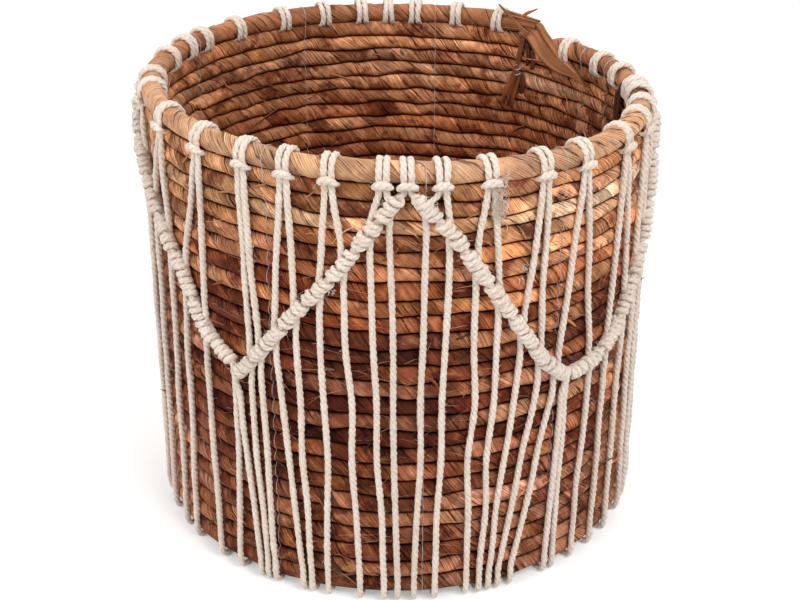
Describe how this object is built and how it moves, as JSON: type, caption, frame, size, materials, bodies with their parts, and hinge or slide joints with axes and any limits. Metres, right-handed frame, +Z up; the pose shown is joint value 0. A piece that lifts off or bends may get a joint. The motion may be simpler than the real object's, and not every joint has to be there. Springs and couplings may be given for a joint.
{
  "type": "macrame basket",
  "caption": "Round open basket coiled from twisted bark rope, pale above and dark below, hung with knotted cotton cords in a zigzag round its outside.",
  "frame": {"origin": "middle of the footprint, on the surface the basket stands on", "axes": "+Z up, -Y towards the front of the picture, +X to the right as seen from the front"},
  "size_m": [0.3657, 0.3658, 0.324],
  "materials": {
    "pale_bark": "dry golden tan fibre",
    "rim_bark": "dry pale tan fibre",
    "dark_bark": "dry reddish brown fibre",
    "cotton_cord": "unbleached twisted cotton, matte",
    "clear_thread": "translucent monofilament"
  },
  "bodies": {
    "root": {"base_coil": "dark_bark", "wall_rope_dark": "dark_bark", "wall_rope_pale": "pale_bark", "rim_rope": "rim_bark", "rim_end_strip": "rim_bark", "seam_tie": "dark_bark", "sewing_thread_01": "clear_thread", "sewing_thread_02": "clear_thread", "sewing_thread_03": "clear_thread", "sewing_thread_04": "clear_thread", "sewing_thread_05": "clear_thread", "sewing_thread_06": "clear_thread", "sewing_thread_07": "clear_thread", "sewing_thread_08": "clear_thread", "sewing_thread_09": "clear_thread", "sewing_thread_10": "clear_thread", "macrame_cord_01": "cotton_cord", "macrame_cord_02": "cotton_cord", "macrame_cord_03": "cotton_cord", "macrame_cord_04": "cotton_cord", "macrame_cord_05": "cotton_cord", "macrame_cord_06": "cotton_cord", "macrame_cord_07": "cotton_cord", "macrame_cord_08": "cotton_cord", "macrame_cord_09": "cotton_cord", "macrame_cord_10": "cotton_cord", "macrame_cord_11": "cotton_cord", "macrame_cord_12": "cotton_cord", "macrame_cord_13": "cotton_cord", "macrame_cord_14": "cotton_cord", "macrame_cord_15": "cotton_cord", "macrame_cord_16": "cotton_cord", "macrame_cord_17": "cotton_cord", "macrame_cord_18": "cotton_cord", "macrame_cord_19": "cotton_cord", "macrame_cord_20": "cotton_cord", "macrame_cord_21": "cotton_cord", "macrame_cord_22": "cotton_cord", "macrame_cord_23": "cotton_cord", "macrame_cord_24": "cotton_cord", "macrame_cord_25": "cotton_cord", "macrame_cord_26": "cotton_cord", "macrame_cord_27": "cotton_cord", "macrame_cord_28": "cotton_cord", "macrame_cord_29": "cotton_cord", "macrame_cord_30": "cotton_cord", "macrame_cord_31": "cotton_cord", "macrame_cord_32": "cotton_cord"}
  },
  "joints": []
}
